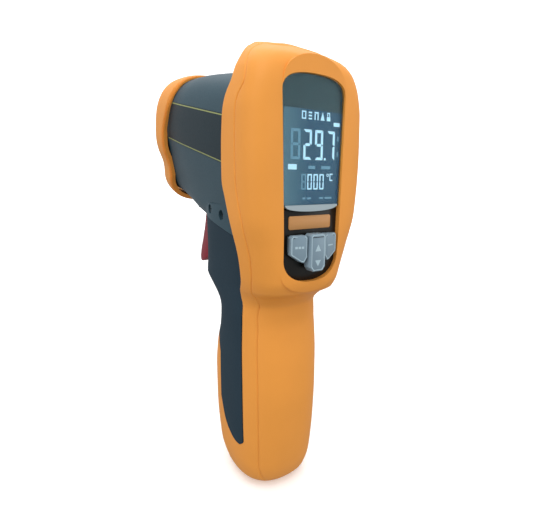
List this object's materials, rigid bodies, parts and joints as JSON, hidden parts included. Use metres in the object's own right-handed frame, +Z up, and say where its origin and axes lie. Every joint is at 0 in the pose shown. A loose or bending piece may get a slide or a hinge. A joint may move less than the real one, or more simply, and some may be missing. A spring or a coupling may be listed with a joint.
{
  "type": "infrared thermometer",
  "caption": "Pistol-grip infrared thermometer with a wide display head, key panel, hooded sensor nose, trigger, hinged battery door and a tripod socket under the grip.",
  "frame": {"origin": "mouth of the tripod socket at the centre of the bottom of the grip", "axes": "+Z up along the grip, +Y forward towards the sensor nose, +X to the right of the person who holds it"},
  "size_m": [0.0506, 0.1207, 0.1836],
  "materials": {
    "orange_shell": "satin moulded plastic",
    "slate_shell": "satin moulded plastic",
    "grip_pad": "soft matt overmould",
    "black_plastic": "matt moulded plastic",
    "panel_black": "semi-gloss",
    "steel": "plain",
    "brass": "turned",
    "lens": "clear polished",
    "lcd": "glossy",
    "white_plastic": "satin",
    "rubber_strip": "matt",
    "plate": "printed satin",
    "keys": "satin moulded",
    "board": "solder mask",
    "trigger_red": "satin",
    "ir_lens": "polished",
    "laser_window": "polished",
    "battery_can": "satin",
    "lead_red": "matt",
    "lead_black": "matt",
    "label": "printed matt"
  },
  "bodies": {
    "body": {"rear_cover": "orange_shell", "body_band": "orange_shell", "housing_left": "slate_shell", "housing_right": "slate_shell", "grip_pad_left": "grip_pad", "grip_pad_right": "grip_pad", "nose_bezel": "orange_shell", "aperture_plate": "black_plastic", "hinge_bracket": "black_plastic", "door_hinge_pin": "steel", "tripod_insert": "brass", "display_lens": "lens", "lcd_holder": "black_plastic", "lcd_glass": "lcd", "lcd_backlight": "white_plastic", "zebra_strip": "rubber_strip", "key_panel": "panel_black", "name_plate": "plate", "rocker_pin": "steel", "keypad_mat": "rubber_strip", "key_switches": "black_plastic", "main_board": "board", "board_chips": "black_plastic", "buzzer": "black_plastic", "trigger_pin": "steel", "trigger_spring": "steel", "trigger_switch": "black_plastic", "optic_tube": "black_plastic", "ir_lens": "ir_lens", "lens_ring": "black_plastic", "sensor_can": "steel", "sensor_board": "board", "ribbon_cable": "white_plastic", "laser_modules": "brass", "laser_windows": "laser_window", "battery_tray": "black_plastic", "battery": "battery_can", "battery_snap": "black_plastic", "lead_red": "lead_red", "lead_black": "lead_black", "case_screws": "steel", "board_screws": "steel", "side_label": "label"},
    "door": {"battery_door": "orange_shell", "door_latch": "black_plastic", "door_knuckles": "black_plastic"},
    "left_key": {"key_left": "keys"},
    "right_key": {"key_right": "keys"},
    "rocker": {"key_rocker": "keys"},
    "trigger": {"trigger": "trigger_red"}
  },
  "joints": [
    {"name": "trigger_pull", "type": "hinge", "parent": "body", "child": "trigger", "pos_m": [0, 0.044, 0.1196], "axis": [-1, 0, 0], "range_deg": [0, 8], "stiffness_Nm_per_rad": 0.5, "springref_deg": -6.88},
    {"name": "left_key_press", "type": "slide", "parent": "body", "child": "left_key", "axis": [0, 1, 0], "range_m": [0, 0.0008], "stiffness_N_per_m": 500, "springref_m": -0.0002},
    {"name": "right_key_press", "type": "slide", "parent": "body", "child": "right_key", "axis": [0, 1, 0], "range_m": [0, 0.0008], "stiffness_N_per_m": 500, "springref_m": -0.0002},
    {"name": "rocker_tilt", "type": "hinge", "parent": "body", "child": "rocker", "pos_m": [0, -0.0274, 0.1068], "axis": [1, 0, 0], "range_deg": [-3, 3], "stiffness_Nm_per_rad": 0.06},
    {"name": "battery_door_swing", "type": "hinge", "parent": "body", "child": "door", "pos_m": [0, 0.0093, 0.0022], "axis": [-1, 0, 0], "range_deg": [0, 75]}
  ]
}
